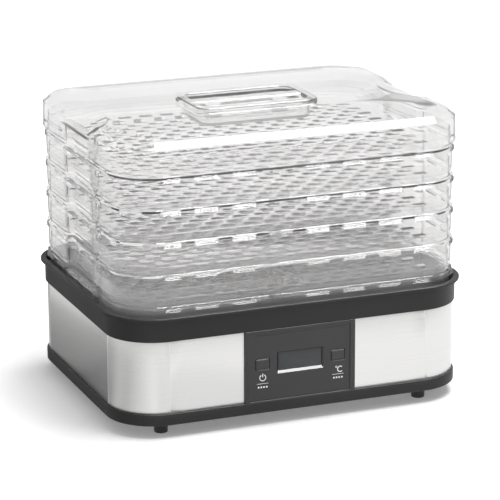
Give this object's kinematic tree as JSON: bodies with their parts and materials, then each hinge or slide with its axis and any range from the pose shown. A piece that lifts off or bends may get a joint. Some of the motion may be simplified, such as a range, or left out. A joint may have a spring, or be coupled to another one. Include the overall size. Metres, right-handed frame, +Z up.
{
  "type": "food dehydrator",
  "caption": "Countertop food dehydrator: a heated fan base with a control panel, a stack of clear mesh trays and a clear lid with a grip.",
  "frame": {"origin": "centre of the footprint on the floor plane under the feet", "axes": "+X to the right seen from the front, -Y towards the control panel, +Z up"},
  "size_m": [0.348, 0.27, 0.2745],
  "materials": {
    "clear_plastic": "clear moulded plastic, glossy",
    "black_housing": "satin black moulded plastic",
    "panel_plastic": "dark satin panel",
    "steel_band": "horizontally brushed",
    "key_plastic": "satin key caps",
    "display_glass": "smoked display window",
    "display_module": "liquid crystal module",
    "rubber_foot": "soft black rubber",
    "circuit_board": "green solder mask",
    "power_circuit": "brown laminate with components",
    "zinc_steel": "zinc plated sheet",
    "motor_steel": "motor casing",
    "fan_plastic": "natural heat-resistant plastic",
    "mica": "mica sheet",
    "heater_wire": "oxidised resistance wire",
    "switch_plastic": "black component plastic",
    "sensor_bead": "epoxy bead",
    "screw_steel": "plain screws"
  },
  "bodies": {
    "base": {"bottom_cover": "black_housing", "rubber_feet": "rubber_foot", "steel_wrap": "steel_band", "upper_housing": "black_housing", "outlet_grille": "black_housing", "control_panel": "panel_plastic", "display_window": "display_glass", "lcd_module": "display_module", "control_board": "circuit_board", "tact_switches": "switch_plastic", "panel_screws": "screw_steel", "power_board": "power_circuit", "motor_bracket": "zinc_steel", "fan_motor": "motor_steel", "air_duct": "zinc_steel", "heater_frame": "mica", "heater_element": "heater_wire", "thermal_cutout": "switch_plastic", "temp_sensor": "sensor_bead", "cord_gland": "switch_plastic", "base_screws": "screw_steel"},
    "fan": {"motor_shaft": "screw_steel", "fan_impeller": "fan_plastic"},
    "time_key": {"time_button": "key_plastic"},
    "temp_key": {"temp_button": "key_plastic"},
    "tray_5": {"tray_5": "clear_plastic", "tray_5_mesh": "clear_plastic"},
    "tray_4": {"tray_4": "clear_plastic", "tray_4_mesh": "clear_plastic"},
    "tray_3": {"tray_3": "clear_plastic", "tray_3_mesh": "clear_plastic"},
    "tray_2": {"tray_2": "clear_plastic", "tray_2_mesh": "clear_plastic"},
    "tray_1": {"tray_1": "clear_plastic", "tray_1_mesh": "clear_plastic"},
    "lid": {"lid": "clear_plastic"}
  },
  "joints": [
    {"name": "fan_spin", "type": "hinge", "parent": "base", "child": "fan", "pos_m": [0, 0, 0.06], "axis": [0, 0, 1], "continuous": true},
    {"name": "time_key_press", "type": "slide", "parent": "base", "child": "time_key", "axis": [0, 1, 0], "range_m": [0, 0.001], "stiffness_N_per_m": 300, "springref_m": -0.0015},
    {"name": "temp_key_press", "type": "slide", "parent": "base", "child": "temp_key", "axis": [0, 1, 0], "range_m": [0, 0.001], "stiffness_N_per_m": 300, "springref_m": -0.0015},
    {"name": "tray_5_lift", "type": "slide", "parent": "base", "child": "tray_5", "axis": [0, 0, 1], "range_m": [0, 0.06]},
    {"name": "tray_4_lift", "type": "slide", "parent": "tray_5", "child": "tray_4", "axis": [0, 0, 1], "range_m": [0, 0.06]},
    {"name": "tray_3_lift", "type": "slide", "parent": "tray_4", "child": "tray_3", "axis": [0, 0, 1], "range_m": [0, 0.06]},
    {"name": "tray_2_lift", "type": "slide", "parent": "tray_3", "child": "tray_2", "axis": [0, 0, 1], "range_m": [0, 0.06]},
    {"name": "tray_1_lift", "type": "slide", "parent": "tray_2", "child": "tray_1", "axis": [0, 0, 1], "range_m": [0, 0.06]},
    {"name": "lid_lift", "type": "slide", "parent": "tray_1", "child": "lid", "axis": [0, 0, 1], "range_m": [0, 0.12]}
  ]
}
